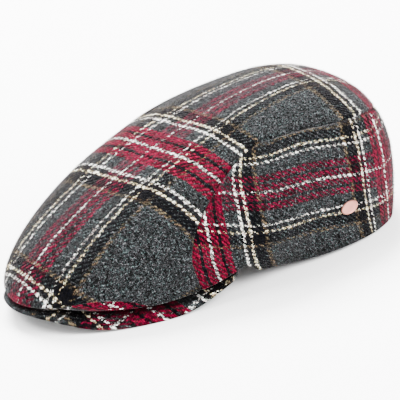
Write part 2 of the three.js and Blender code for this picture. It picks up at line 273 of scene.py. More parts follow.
def lower_edge(angle):
    """Lower edge of the crown: the lip over the peak, then the rim of the head opening."""
    turn = np.abs(angle)
    held = np.minimum(turn, RIM_FULL)
    rim = smooth_step((turn - RIM_START) / (RIM_FULL - RIM_START))
    radius = lip_radius(held) * (1 - rim) + rim_radius(turn) * rim
    height = lip_height(held) * (1 - rim) + np.maximum(rim_height(turn), 0) * rim
    return radius, height


def crown_point(angle, height):
    """Outside of the crown at angles and heights from -1 (lower edge) to 1 (apex)."""
    angle, height = np.broadcast_arrays(np.asarray(angle, float), np.asarray(height, float))
    turn = np.abs(angle)
    side, back = np.sin(angle * RAD), -np.cos(angle * RAD)
    radius, widest = plan_radius(turn), widest_height(turn)
    low_radius, low_height = lower_edge(angle)
    fall = np.minimum(height, 0)
    reach = radius + (low_radius - radius) * fall * fall
    climb = np.clip(height, 0, 1) * np.pi / 2
    out = np.where(height >= 1, 0, np.maximum(np.cos(climb), 0)) ** fullness(turn)
    up = np.sin(climb) ** shoulder(turn)
    below = height < 0
    return np.stack([
        np.where(below, reach * side, radius * side * out),
        np.where(below, reach * back, APEX_Y + (radius * back - APEX_Y) * out),
        np.where(below, widest - (low_height - widest) * fall, widest + (APEX_Z - widest) * up),
    ], -1)


# The crown laid out flat as a disc: apex at the centre, widest line at WAIST, lower edge at 1.

def to_disc(angle, height):
    turn, height = np.asarray(angle) * RAD, np.asarray(height, float)
    reach = np.where(height < 0, WAIST - (1 - WAIST) * height, WAIST * (1 - height))
    return np.stack([reach * np.sin(turn), -reach * np.cos(turn)], -1)


def angle_and_height(spots):
    reach = np.minimum(1, np.hypot(spots[..., 0], spots[..., 1]))
    height = np.where(reach > WAIST, -(reach - WAIST) / (1 - WAIST), 1 - reach / WAIST)
    return np.arctan2(spots[..., 0], -spots[..., 1]) / RAD, height


def from_disc(spots):
    return crown_point(*angle_and_height(spots))


def outward(spots):
    """Outward direction of the crown at points of the disc."""
    step = 0.004
    reach = np.hypot(spots[..., 0], spots[..., 1])
    held = spots * np.where(reach > 1 - step, (1 - step) / np.maximum(reach, 1e-9), 1)[..., None]
    dx, dy = np.array([step, 0.0]), np.array([0.0, step])
    normal = np.cross(from_disc(held + dx) - from_disc(held - dx),
                      from_disc(held + dy) - from_disc(held - dy))
    return normal / np.linalg.norm(normal, axis=-1, keepdims=True)


def even_walk(rows):
    """Evenly spaced walk along a curve given by rows, measured on the crown itself."""
    numbered = [dict(row, index=i) for i, row in enumerate(rows)]
    index = np.linspace(0, len(rows) - 1, WALK_STEPS * (len(rows) - 1) + 1)
    angle = smooth_rows(numbered, "angle", "index")(index)
    height = smooth_rows(numbered, "height", "index")(index)
    length = walked(crown_point(angle, height))
    spots = to_disc(angle, height)

    def walk(share):
        goal = np.clip(share, 0, 1) * length[-1]
        return np.stack([np.interp(goal, length, spots[:, axis]) for axis in (0, 1)], -1)
    return walk


def mirror_row(row):
    return dict(row, angle=-row["angle"])


def edge_rows(start, end, count):
    """Rows along the lower edge between two angles."""
    return [dict(angle=start + (end - start) * i / count, height=-1) for i in range(count + 1)]


def fold_rows(start, end, count, key, tuck=0.0):
    """Rows between two angles at the heights of the lip's fold or of its facing."""
    value = smooth_rows(LIP_FOLD, key)
    angles = [start + (end - start) * i / count for i in range(count + 1)]
    return [dict(angle=a, height=float(value(abs(a))) + tuck) for a in angles]


def patch(bottom, top, left, right, u, v):
    """Blend four outline curves into a grid of disc spots over shares u (across) and v (up)."""
    across, up = u[None, :, None], v[:, None, None]
    rails = (1 - up) * bottom(u)[None] + up * top(u)[None]
    rungs = (1 - across) * left(v)[:, None] + across * right(v)[:, None]
    corners = [bottom(0.0), bottom(1.0), top(0.0), top(1.0)]
    base = ((1 - up) * ((1 - across) * corners[0] + across * corners[1])
            + up * ((1 - across) * corners[2] + across * corners[3]))
    return rails + rungs - base


def graded(count, strip, rows):
    """Shares from 0 to 1 with `rows` close steps inside a strip at each end."""
    fine = np.linspace(0, strip, rows + 1)
    middle = np.linspace(strip, 1 - strip, count - 2 * rows + 1)
    return np.r_[fine, middle[1:-1], 1 - fine[::-1]]


# ---- how the cloth lies: distances along it, in millimetres ----

# Along the top panel: distance back from the lip, and the cloth there, counted from the middle
# of the stripe group that crosses the top. A cross stripe leans back by `lean` toward the
# wearer's left and curves back by `bow`; `spread` is how wide the lengthwise stripes lie.
TOP_LAY = table(
    "place cloth bow lean spread",
    (-20, -168, 0.0045, -0.05, 1.08),
    (34, -111, 0.0045, -0.05, 1.08),
    (97, -42, 0.0024, 0.14, 0.99),
    (146, 0, 0.0015, 0.10, 1.03),
    (192, 42, 0.0002, 0.13, 0.88),
    (260, 111, 0.0, 0.0, 0.7),
    (305, 153, 0.0006, 0.04, 0.75),
    (400, 245, 0.001, 0.0, 0.9),
)
TOP_MIDDLE = 2.0          # the middle white line runs this far to the wearer's left,
MIDDLE_END, MIDDLE_EASE = 180.0, 30.0     # and from here on back to the middle
FAR_SIDE = 0.75           # on the wearer's right the cloth is drawn in by this much,
FAR_TURN, FAR_BEYOND = 12.0, 1.2          # as far as FAR_TURN, and let out again beyond it
LIP_HALF, LIP_EASE = 15.0, 30.0           # cloth turned down beyond LIP_HALF adds to the width
TAIL = 70.0               # behind this line the cloth is measured straight back
LAY_STEPS, WALL_STEPS = 36, 40            # points on a line that is measured over the cloth

# Along a side panel: how far back, and the cloth there, counted from the front stripe group.
SIDE_LAY = table(
    "place cloth",
    (-110, -44),
    (-68, 0),
    (-29, 42),
    (43, 111),
    (80, 153),
    (175, 250),
)
SIDE_TOP, SIDE_FALL, SIDE_STRETCH, SIDE_BOW = 20.1, -0.267, -1.096, 0.00143
SIDE_CURVE, FRONT_CURVE = 0.005, 0.0035   # its cross stripes curve back, more so low in front
FRONT_TURN, FRONT_EASE = 70.0, 30.0       # and this is where that front ends
# Behind BACK_TURN, and below BACK_RISE, the cloth runs round the back of the cap.
BACK_TURN, BACK_RISE, BACK_EASE = 115.0, 15.0, 40.0

widest_angles = np.arange(0, 180.5, 0.5)
widest_points = crown_point(widest_angles, 0.0)
widest_arc = walked(widest_points)
widest_arc -= np.interp(90, widest_angles, widest_arc)

middle_heights = np.linspace(0, 1, 400)
middle_line = np.concatenate([crown_point(0.0, middle_heights),
                              crown_point(180.0, middle_heights[::-1])[1:]])
lip_drop = walked(crown_point(0.0, np.linspace(-1, 0, 60)))[-1]
middle_arc = walked(middle_line) + lip_drop


def wall_arc(angle, height):
    """Distance over the cloth from the widest line, positive upward."""
    steps = np.linspace(0, 1, WALL_STEPS)
    line = crown_point(np.asarray(angle)[..., None], np.asarray(height)[..., None] * steps)
    return np.sign(height) * np.linalg.norm(np.diff(line, axis=-2), axis=-1).sum(-1)


def crown_top(x, y):
    """Height of the crown's upper part over plan positions."""
    x = np.abs(x)
    low, high = np.zeros(np.shape(x)), np.full(np.shape(x), 180.0)
    for _ in range(CROWN_HALVINGS):
        angle = (low + high) / 2
        radius = plan_radius(angle)
        wide_x, wide_y = radius * np.sin(angle * RAD), -radius * np.cos(angle * RAD) - APEX_Y
        front = wide_x * (y - APEX_Y) - wide_y * x > 0
        low, high = np.where(front, angle, low), np.where(front, high, angle)
    radius = plan_radius(angle)
    wide = np.hypot(radius * np.sin(angle * RAD), -radius * np.cos(angle * RAD) - APEX_Y)
    out = np.clip(np.hypot(x, y - APEX_Y) / wide, 0, 1)
    climb = np.arccos(np.clip(out ** (1 / fullness(angle)), 0, 1))
    widest = widest_height(angle)
    return widest + (APEX_Z - widest) * np.sin(climb) ** shoulder(angle)


def over_crown(x, y):
    """Distance over the crown's upper part, along lines of plan positions."""
    x, y = np.broadcast_arrays(x, y)
    run = np.hypot(np.diff(x, axis=-1), np.diff(y, axis=-1))
    return np.hypot(run, np.diff(crown_top(x, y), axis=-1)).sum(-1)


def top_cloth(angle, height, points):
    """Cloth position on the top panel: across from the middle, and back from the middle group."""
    wide = crown_point(angle, np.maximum(height, 0))
    x, y = wide[..., 0], wide[..., 1]
    steps = np.linspace(0, 1, LAY_STEPS)
    below = np.where(height < 0, -wall_arc(angle, np.minimum(height, 0)), 0)
    sideways = smooth_step((np.abs(x) - LIP_HALF) / LIP_EASE)
    across = over_crown(x[..., None] * steps, y[..., None])
    across = np.sign(x) * (across + below * sideways)
    place = np.interp(y, middle_line[:, 1], middle_arc)
    back = over_crown(x[..., None], TAIL + np.maximum(y - TAIL, 0)[..., None] * steps)
    place = np.where(y > TAIL, np.interp(TAIL, middle_line[:, 1], middle_arc) + back, place)
    place = place - below * (1 - sideways)
    lean, bow, spread = (smooth_rows(TOP_LAY, key, "place")(place) for key in ("lean", "bow", "spread"))
    start = place - lean * across - bow * across * across
    along = smooth_rows(TOP_LAY, "cloth", "place")(start)
    middle = TOP_MIDDLE * (1 - smooth_step((place - MIDDLE_END) / MIDDLE_EASE))
    offset = (across - middle) / spread
    far = np.minimum(-offset, FAR_TURN) / FAR_SIDE + np.maximum(-offset - FAR_TURN, 0) / FAR_BEYOND
    return np.where(offset < 0, -far, offset), along


def side_cloth(angle, height, points):
    """Cloth position on a side panel: down from its upper edge, and back along it."""
    turn = np.abs(angle)
    rise = wall_arc(turn, height)
    arc = np.interp(turn, widest_angles, widest_arc)
    wide_y = np.interp(turn, widest_angles, widest_points[:, 1])
    round_back = smooth_step((turn - BACK_TURN) / BACK_EASE)
    too_high = smooth_step((rise - BACK_RISE) / BACK_EASE)
    low = np.minimum(rise, 0) * (1 - smooth_step((turn - FRONT_TURN) / FRONT_EASE))
    place = points[..., 1] + (arc - wide_y) * round_back * (1 - too_high)
    place = place - (SIDE_CURVE * rise + FRONT_CURVE * low) * rise
    along = smooth_rows(SIDE_LAY, "cloth", "place")(place)
    down = SIDE_TOP + SIDE_FALL * arc + SIDE_STRETCH * rise + SIDE_BOW * arc * arc
    return np.where(angle < 0, -down, down), along


# ---- building cloth panels ----

def to_metres(points):
    points = np.array(points, float)
    points[..., 1] += CENTRE_SHIFT
    return points / 1000


def add_object(name, data):
    made = bpy.data.objects.new(name, data)
    bpy.context.scene.collection.objects.link(made)
    return made


def lay_cloth(mesh, cloth):
    """Keep the cloth position of each point as the mesh's UV."""
    corner = np.zeros(len(mesh.loops), int)
    mesh.loops.foreach_get("vertex_index", corner)
    layer = mesh.uv_layers.new(name="cloth")
    layer.data.foreach_set("uv", np.ascontiguousarray(cloth[corner], np.float32).ravel())


def make_piece(name, points, faces, cloth=None, woolly=None, shade=None):
    """Mesh object from points in millimetres, with the cloth position of each point as its UV.

    `woolly` marks the faces that carry fuzz; `shade` is painted shade, a factor on the cloth's colour.
    """
    mesh = bpy.data.meshes.new(name)
    mesh.from_pydata(to_metres(points).tolist(), [], [list(map(int, f)) for f in faces])
    mesh.update()
    if cloth is not None:
        lay_cloth(mesh, cloth)
    if woolly is not None:
        mesh.attributes.new("woolly", "BOOLEAN", "FACE").data.foreach_set("value", np.array(woolly, bool))
    if shade is not None:
        layer = mesh.attributes.new("shade", "FLOAT", "POINT")
        layer.data.foreach_set("value", np.array(shade, np.float32))
    mesh.polygons.foreach_set("use_smooth", np.ones(len(mesh.polygons), bool))
    return add_object(name, mesh)


def arc_from(points, axis, end):
    """Distance over the grid from one of its ends, along one of its directions."""
    steps = np.linalg.norm(np.diff(points, axis=axis), axis=-1)
    shape = list(steps.shape)
    shape[axis] = 1
    length = np.concatenate([np.zeros(shape), np.cumsum(steps, axis=axis)], axis=axis)
    return length if end == 0 else np.take(length, [-1], axis=axis) - length


def unevenness(points, seed):
    """Soft lumps of worn wool cloth, from about -1 to 1."""
    flat = points.reshape(-1, 3)
    value = [noise.noise(Vector(p) * BROAD_LUMPS + Vector((seed, 0, 0)))
             + SMALL_SHARE * noise.noise(Vector(p) * SMALL_LUMPS + Vector((0, seed, 3)))
             for p in flat.tolist()]
    return np.array(value).reshape(points.shape[:-1])


def cloth_panel(name, spots, cloth_of, sewn, seed, inset=0.0, hem=HEM_FOLD):
    """Closed panel of cloth over a grid of disc spots.

    `sewn` names the sides of the grid that are seams (last, left, right); there the cloth dives
    into the seam. The first row is a hem: the cloth is turned in and rounded.
    """
    rows, columns = spots.shape[:2]
    angle, height = angle_and_height(spots)
    base = crown_point(angle, height)
    normal = outward(spots)
    edges = dict(first=arc_from(base, 0, 0), last=arc_from(base, 0, 1),
                 left=arc_from(base, 1, 0), right=arc_from(base, 1, 1))
    dive = np.zeros((rows, columns))
    for side in sewn:
        along_seam = arc_from(base, 0 if side in ("left", "right") else 1, 0)
        pucker = 1 + PUCKER * np.sin(along_seam / PUCKER_STEP)
        near = np.exp(-(edges[side] / SEAM_ROLL) ** SEAM_STEEP)
        swell = np.exp(-((edges[side] - SWELL_PLACE) / SWELL_WIDTH) ** 2)
        dive = np.maximum(dive, SEAM_DEPTH * near) - SWELL * swell * pucker
    lumps = RELIEF * unevenness(base, seed)
    calm = np.clip(np.minimum.reduce(list(edges.values())) / CALM_EDGE, 0, 1)
    outer = base + normal * (lumps * calm - dive - inset)[..., None]
    fold = hem * (1 - smooth_step((edges["first"] - HEM_DEPTH) / HEM_EASE))
    inner = outer - normal * (CLOTH + fold)[..., None]
    cloth = np.stack(cloth_of(angle, height, base), -1)

    points = [outer.reshape(-1, 3), inner.reshape(-1, 3)]
    coords = [cloth.reshape(-1, 2), cloth.reshape(-1, 2)]
    size = rows * columns

    def at(layer, i, j):
        return layer * size + i * columns + j
    faces = []
    for i in range(rows - 1):
        for j in range(columns - 1):
            faces.append((at(0, i, j), at(0, i, j + 1), at(0, i + 1, j + 1), at(0, i + 1, j)))
            faces.append((at(1, i, j), at(1, i + 1, j), at(1, i + 1, j + 1), at(1, i, j + 1)))
    first = [[at(0, 0, j) for j in range(columns)]]
    middle = (outer[0] + inner[0]) / 2
    half = (outer[0] - inner[0]) / 2
    down = outer[0] - outer[1]
    down /= np.linalg.norm(down, axis=-1, keepdims=True)
    reach = np.linalg.norm(half, axis=-1, keepdims=True)
    for k in range(1, HEM_BENDS):
        turn = math.pi * k / HEM_BENDS
        row = middle + half * math.cos(turn) + down * reach * HEM_ROUND * math.sin(turn)
        row[:, 2] = np.maximum(row[:, 2], 0.0)
        start = sum(len(p) for p in points)
        points.append(row)
        coords.append(cloth[0] + np.array([HEM_TAKE * k, 0.0]))
        first.append([start + j for j in range(columns)])
    first.append([at(1, 0, j) for j in range(columns)])
    for upper, lower in zip(first[:-1], first[1:]):
        for j in range(columns - 1):
            faces.append((lower[j], lower[j + 1], upper[j + 1], upper[j]))
    i, n = rows - 1, columns - 1
    for j in range(n):
        faces.append((at(0, i, j), at(0, i, j + 1), at(1, i, j + 1), at(1, i, j)))
    for i in range(rows - 1):
        faces.append((at(0, i, 0), at(0, i + 1, 0), at(1, i + 1, 0), at(1, i, 0)))
        faces.append((at(1, i, n), at(1, i + 1, n), at(0, i + 1, n), at(0, i, n)))
    faces.append(tuple(row[0] for row in first))
    faces.append(tuple(row[-1] for row in first[::-1]))
    points = np.concatenate(points)
    woolly = [max(face) < size and points[list(face), 2].min() > FUZZ_CLEAR for face in faces]
    return make_piece(name, points, faces, np.concatenate(coords), woolly)


def make_top():
    """Top panel, from the lip over the crown to the centre back."""
    climb = even_walk(SEAM[:REAR_ROW + 1])
    rear_rows = SEAM[REAR_ROW:]
    far_rows = [dict(row, angle=360 - row["angle"]) for row in rear_rows[::-1][1:]]
    rear = even_walk(rear_rows + far_rows)
    front = even_walk(fold_rows(-SEAM[0]["angle"], SEAM[0]["angle"], count=88, key="fold"))
    flip = np.array([-1.0, 1.0])
    across, back = graded(118, strip=0.03, rows=7), graded(180, strip=0.02, rows=7)
    spots = patch(front, lambda u: rear(1 - u), lambda v: climb(v) * flip, climb, across, back)
    return cloth_panel("crown_top", spots, top_cloth, ("last", "left", "right"), 7.0)


def make_side(name, mirrored, seed):
    """Side panel, from the temple round to the centre back."""
    hand = mirror_row if mirrored else dict
    hem = even_walk([hand(row) for row in edge_rows(SEAM[0]["angle"], 180, count=30)])
    top = even_walk([hand(row) for row in SEAM[SHOULDER_ROW:]])
    front = even_walk([hand(row) for row in SEAM[:SHOULDER_ROW + 1]])
    back_top = SEAM[-1]["height"]
    back = even_walk([hand(dict(angle=180, height=-1 + (back_top + 1) * i / 6)) for i in range(7)])
    along, up = graded(140, strip=0.025, rows=7), graded(76, strip=0.05, rows=7)
    spots = patch(hem, top, front, back, along, up)
    if mirrored:
        spots = spots[:, ::-1]
    return cloth_panel(name, spots, side_cloth, ("last", "left", "right"), seed)


# The lip's facing is cut on the bias. Its white line crosses it at FACING_MIDDLE.
FACING_MIDDLE, FACING_BIAS = 22.5, 0.72
FACING_COLUMN, FACING_ROW = -4.0, 8.0
FACING_COLUMNS, FACING_ROWS = 70, 16


def facing_cloth(angle, height, points):
    """Cloth position on the lip's facing."""
    turn = np.abs(angle)
    middle = np.interp(FACING_MIDDLE, widest_angles, widest_arc)
    along = np.interp(turn, widest_angles, widest_arc) - middle
    down = -wall_arc(turn, np.minimum(height, 0))
    return FACING_BIAS * (along + down) + FACING_COLUMN, FACING_BIAS * (along - down) + FACING_ROW


def make_facing(name, mirrored, seed):
    """Facing of the lip, over one of the peak's front corners."""
    start, end = LIP_FOLD[0]["angle"], LIP_FOLD[-1]["angle"]
    if mirrored:
        start, end = -end, -start
    hem = even_walk(fold_rows(start, end, count=40, key="edge"))
    top = even_walk(fold_rows(start, end, count=40, key="fold", tuck=FACING_TUCK))
    sides = [even_walk([dict(angle=a, height=-1 + FACING_TUCK * i / 3) for i in range(4)])
             for a in (start, end)]
    u, v = np.linspace(0, 1, FACING_COLUMNS), np.linspace(0, 1, FACING_ROWS)
    spots = patch(hem, top, sides[0], sides[1], u, v)
    flare = (1 - v)[:, None] * np.sin(np.pi * u)[None] ** FACING_ROUND
    inset = FACING_INSET - (FACING_INSET + FACING_FLARE) * flare
    return cloth_panel(name, spots, facing_cloth, (), seed, inset, hem=0.0)


# ---- the peak ----

# The peak's cloth is cut from another part of the pattern. A red group's middle runs lengthwise at
# PEAK_MIDDLE, and the cloth is drawn in by PEAK_GATHER beyond it. The crosswise stripes slant by
# PEAK_SLANT and curl by PEAK_CURL toward the left side.
PEAK_MIDDLE, PEAK_GATHER = 57.0, 1.28
PEAK_START, PEAK_SLANT, PEAK_CURL = 110.1, 0.585, 0.0088
# Painted deep shade darkens the peak's colour along the crease where the crown's lip lies over it,
# and more widely in front of the facing, between CREASE_START and CREASE_END.
CREASE_WIDTH, CREASE_FRONT, CREASE_SHADE = 2.0, 3.5, 0.15
CREASE_START, CREASE_END, CREASE_EASE = 8.0, 24.0, 4.0
CREASE_BARE = 1.0         # the fuzz starts this far from the crease
PEAK_CROWDING = 0.3       # how much the peak's rows draw together at its edges


def make_peak():
    """Peak: rows that run round its thickness, one after another from corner to corner."""
    sweep = 90 - PEAK_CORNER_TAPER
    around, deep, bends = 150, 26, 6
    angles = np.linspace(-sweep, sweep, around + 1)
    edge, brow = peak_underside(angles, 0.0), peak_underside(angles, 1.0)
    depth = np.linalg.norm(brow - edge, axis=-1)
    half = PEAK_THICKNESS / 2
    lift = np.array([0, 0, half])
    ring_points, ring_cloth = [], []

    def add(points, extra=0.0):
        ring_points.append(points)
        x, y = (points[:, :2] + extra).T
        across = x - PEAK_MIDDLE
        along = y + PEAK_SLANT * x - PEAK_CURL * x * np.maximum(x, 0) + PEAK_START
        ring_cloth.append(np.stack([np.where(across > 0, across * PEAK_GATHER, across), along], -1))
    inward = (brow - edge) / depth[:, None]
    start, end = half / depth, 1 - half / depth
    even = np.linspace(0, 1, deep + 1)
    shares = smooth_step(even) * PEAK_CROWDING + even * (1 - PEAK_CROWDING)
    for s in shares:
        add(peak_underside(angles, start + (end - start) * s))
    for k in range(1, bends):
        swing = math.pi * k / bends
        add(peak_underside(angles, end) + lift * (1 - math.cos(swing)) + inward * half * math.sin(swing))
    for s in shares[::-1]:
        add(peak_underside(angles, start + (end - start) * s) + 2 * lift)
    for k in range(1, bends):
        swing = math.pi * k / bends
        add(peak_underside(angles, start) + lift * (1 + math.cos(swing)) - inward * half * math.sin(swing),
            -inward[:, :2] * half * (swing - math.sin(swing)))
    size = len(ring_points)
    points = np.stack(ring_points, 1).reshape(-1, 3)
    cloth = np.stack(ring_cloth, 1).reshape(-1, 2)
    faces = []
    for i in range(around):
        for k in range(size):
            n = (k + 1) % size
            faces.append((i * size + k, i * size + n, (i + 1) * size + n, (i + 1) * size + k))
    for i, flip in ((0, True), (around, False)):
        ring = [i * size + k for k in range(size)]
        under, over = ring[:deep + 1], ring[deep + bends:2 * deep + bends + 1][::-1]
        caps = [(under[k], under[k + 1], over[k + 1], over[k]) for k in range(deep)]
        caps.append(tuple(ring[deep:deep + bends + 1]))
        caps.append(tuple(ring[2 * deep + bends:] + ring[:1]))
        faces += [cap[::-1] if flip else cap for cap in caps]
    # Painted shade: the colour is darkened in a band along the crease under the crown's lip.
    turn = np.arctan2(np.abs(points[:, 0]), -points[:, 1]) / RAD
    clear = np.hypot(points[:, 0], points[:, 1]) - lip_radius(np.clip(turn, 0, 75))
    level = np.arange(len(points)) % size
    before, behind = turn - CREASE_START, turn - CREASE_END
    front = smooth_step(before / CREASE_EASE) * (1 - smooth_step(behind / (2 * CREASE_EASE)))
    width = CREASE_WIDTH + CREASE_FRONT * front
    shade = CREASE_SHADE + (1 - CREASE_SHADE) * smooth_step(clear / width - 0.1)
    shade[level < deep + bends] = 1.0
    can_grow = (level >= deep + bends) & (clear > CREASE_BARE) & (points[:, 2] > FUZZ_CLEAR)
    woolly = [all(can_grow[list(face)]) for face in faces]
    return make_piece("peak_cover", points, faces, cloth, woolly, shade)


# ---- the plain side plate ----

PLATE_ANGLE, PLATE_HEIGHT = 115.0, -0.28
PLATE_HALF_LENGTH, PLATE_HALF_WIDTH = 7.0, 4.75
PLATE_GAP, PLATE_DOME = 0.9, 1.42         # how far it stands off the cloth, and its middle's height
PLATE_SIDES = 72
PLATE_PROFILE = table(
    "share lift",
    (0.93, 0.0),
    (0.985, 0.25),
    (1.0, 0.75),
    (0.985, 1.25),
    (0.94, 1.52),
    (0.89, 1.6),
    (0.84, 1.5),
    (0.8, 1.22),
    (0.76, 1.12),
    (0.5, 1.26),
    (0.25, 1.38),
)


def make_plate():
    """Oval plate with a rolled rim, on the left side toward the back."""
    spot = to_disc(PLATE_ANGLE, PLATE_HEIGHT)
    normal = outward(spot[None])[0]
    centre = from_disc(spot[None])[0] + normal * PLATE_GAP
    up = np.array([0, 0, 1.0]) - normal * normal[2]
    up /= np.linalg.norm(up)
    along = np.cross(up, normal)
    sides = PLATE_SIDES
    turn = 2 * np.pi * np.arange(sides) / sides
    points, faces = [centre], []
    for row in PLATE_PROFILE:
        ring = (centre + along * (PLATE_HALF_LENGTH * row["share"] * np.cos(turn))[:, None]
                + up * (PLATE_HALF_WIDTH * row["share"] * np.sin(turn))[:, None] + normal * row["lift"])
        points.extend(ring)
    points.append(centre + normal * PLATE_DOME)
    rings = len(PLATE_PROFILE)
    for k in range(sides):
        n = (k + 1) % sides
        faces.append((0, 1 + n, 1 + k))
        for level in range(rings - 1):
            a = 1 + level * sides
            faces.append((a + k, a + n, a + sides + n, a + sides + k))
        a = 1 + (rings - 1) * sides
        faces.append((a + k, a + n, len(points) - 1))
    return make_piece("side_plate", np.array(points), faces)


# ---- materials ----

def srgb(red, green, blue):
    def linear(c):
        c /= 255
        return c / 12.92 if c <= 0.04045 else ((c + 0.055) / 1.055) ** 2.4
    return (linear(red), linear(green), linear(blue), 1.0)


GREY = srgb(24, 26, 26)
SOOT = srgb(6, 6, 8)
BLACK = srgb(2, 2, 4)
RED = srgb(81, 0, 25)
WINE = srgb(80, 0, 28)
WISP = srgb(92, 94, 95)
WHITE = srgb(241, 233, 220)
CREAM = srgb(240, 216, 168)
GOLD = srgb(60, 50, 36)

# Half of the stripe repeat, counted in yarns out from the middle white line. The last entry is
# the plain grey block. `fleck` is how strongly a yarn is mixed with lighter and darker fibre.
STRIPES = table(
    "start colour fleck",
    (0, WHITE, 0.7),
    (1, RED, 0.26),
    (6, BLACK, 0.3),
    (8, RED, 0.26),
    (13, GREY, 1.0),
    (22, WHITE, 0.7),
    (24, SOOT, 0.55),
    (27, CREAM, 0.7),
    (29, SOOT, 0.55),
    (30, BLACK, 0.3),
    (37, GOLD, 0.56),
    (40, GREY, 1.0),
)
HALF_REPEAT = 73.5
# The lengthwise yarns of the red group are duller: wine for red, and grey for its black line.
RED_GROUP_END, LONG_FLECK = 13, 0.32
DULLER = {RED: WINE, BLACK: GREY}


def lengthwise(row):
    """The stripe as the lengthwise yarns have it."""
    if row["start"] >= RED_GROUP_END:
        return row
    colour = DULLER.get(row["colour"], row["colour"])
    return dict(row, colour=colour, fleck=max(row["fleck"], LONG_FLECK))


LONG_STRIPES = [lengthwise(row) for row in STRIPES]


class Wiring:
    """Short ways to place and join nodes in a node tree."""

    def __init__(self, tree):
        self.tree = tree

    def node(self, kind, inputs=None, **settings):
        """New node with its settings, and a value or a source for each input that is named."""
        made = self.tree.nodes.new(kind)
        for key, value in settings.items():
            setattr(made, key, value)
        self.feed(made, inputs or {})
        return made

    def feed(self, made, inputs):
        for name, source in inputs.items():
            if isinstance(source, (int, float, tuple, str)):
                made.inputs[name].default_value = source
            else:
                self.tree.links.new(source, made.inputs[name])

    def math(self, operation, *values):
        return self.node("ShaderNodeMath", dict(enumerate(values)), operation=operation).outputs[0]

    def plus(self, first, second):
        return self.math("ADD", first, second)

    def minus(self, first, second):
        return self.math("SUBTRACT", first, second)

    def times(self, first, second):
        return self.math("MULTIPLY", first, second)

    def scaled(self, value, factor, offset):
        return self.math("MULTIPLY_ADD", value, factor, offset)

    def mix(self, factor, first, second, blend="MIX"):
        made = self.node("ShaderNodeMix", data_type="RGBA", blend_type=blend)
        self.feed(made, {0: factor, 6: first, 7: second})
        return made.outputs[2]

    def remap(self, value, from_low, from_high, to_low, to_high):
        """The value carried from one range into another, and kept within it."""
        values = (value, from_low, from_high, to_low, to_high)
        return self.node("ShaderNodeMapRange", dict(enumerate(values))).outputs[0]

    def vector(self, x, y, z=0.0):
        return self.node("ShaderNodeCombineXYZ", {0: x, 1: y, 2: z}).outputs[0]

    def dimmed(self, colour, light):
        return self.mix(1.0, colour, self.vector(light, light, light), "MULTIPLY")

    def noise(self, vector, scale, detail=2.0, roughness=0.5):
        made = self.node("ShaderNodeTexNoise")
        self.feed(made, {"Vector": vector, "Scale": scale, "Detail": detail, "Roughness": roughness})
        return made.outputs["Fac"]

    def shifted(self, vector, seed):
        shift = (seed, -1.7 * seed, 0.6 * seed)
        return self.node("ShaderNodeVectorMath", {0: vector, 1: shift}, operation="ADD").outputs[0]

    def stretched(self, vector, scale):
        return self.node("ShaderNodeMapping", {"Vector": vector, "Scale": scale}).outputs[0]

    def bump(self, height, strength, distance):
        made = self.node("ShaderNodeBump")
        self.feed(made, {"Height": height, "Strength": strength, "Distance": distance})
        return made.outputs[0]


def new_tree(name, kind, inputs, outputs):
    """Node tree with named inputs and outputs, given with their kinds, and its two end nodes."""
    tree = bpy.data.node_groups.new(name, kind)
    for way, sockets in (("INPUT", inputs), ("OUTPUT", outputs)):
        for socket, of_kind in sockets.items():
            tree.interface.new_socket(socket, in_out=way, socket_type="NodeSocket" + of_kind)
    w = Wiring(tree)
    return tree, w, w.node("NodeGroupInput").outputs, w.node("NodeGroupOutput")


def new_material(name):
    """Material with its wiring and its shader."""
    material = bpy.data.materials.new(name)
    material.use_nodes = True
    return material, Wiring(material.node_tree), material.node_tree.nodes["Principled BSDF"]


def stripe_ramp(w, yarn, stripes):
    """Colour and fleck of the yarn with this number."""
    around = w.math("FLOORED_MODULO", w.plus(yarn, HALF_REPEAT), 2 * HALF_REPEAT)
    folded = w.math("ABSOLUTE", w.minus(around, HALF_REPEAT))
    ramp = w.node("ShaderNodeValToRGB", {0: w.math("DIVIDE", folded, HALF_REPEAT)})
    ramp.color_ramp.interpolation = "CONSTANT"
    stops = ramp.color_ramp.elements
    while len(stops) < len(stripes):
        stops.new(0.5)
    for stop, stripe in zip(stops, stripes):
        stop.position = stripe["start"] / HALF_REPEAT
    for stop, stripe in zip(stops, stripes):
        stop.color = (*stripe["colour"][:3], stripe["fleck"])
    return ramp.outputs[0], ramp.outputs[1]


# How the weave is drawn. A noise's scale is in waves to the millimetre of cloth, or to the yarn
# where it is drawn from `across` and `along`.
CROSS_COVER = 0.3         # how much the crosswise yarns lie on top
FRAY = 1.0                # how raggedly one yarn gives way to the next
BROAD_DRIFT, FINE_DRIFT = 1.6, 1.5        # how far the yarns stray, in millimetres
FRAY_REACH = 8.0          # how much a loose place lifts a yarn, at full fray
STRAND_WAVE, STRAND_ROUND = 0.6, 3.2      # the rise of a yarn where it floats, and its roundness
STRAND_CHANCE = 0.8       # some floats stand higher than others
SINK = 1.6                # the more flecked a yarn is, the lower it lies
FINE_ACROSS = 1.8         # fibres are finer across a yarn than along it
FIBRE_CONTRAST = 8.0      # light and dark fibre within a yarn,
FLOAT_CONTRAST = 0.8      # from float to float,
SPECK_CONTRAST, SPECK_LOSS = 5.4, 3.6     # and in specks, with how much these darken on the whole
WISP_THIN, WISP_COVER = 22.0, 0.22        # how thin a stray fibre is, and how much it hides
BRIGHTEST = (0.9, 0.9, 0.9, 1)
BUMP_STRENGTH, BUMP_DEPTH = 0.7, 0.0004
DULL = 0.02               # specular level of wool
SHEEN = 0.12              # both its weight and its roughness
SHEEN_TINT = (1.0, 0.9, 0.92, 1.0)
PALE_FIBRE = (0.5, 0.45, 0.46, 1)
FIBRE_TAPER = 0.8         # a fibre of the fuzz narrows by this share toward its tip


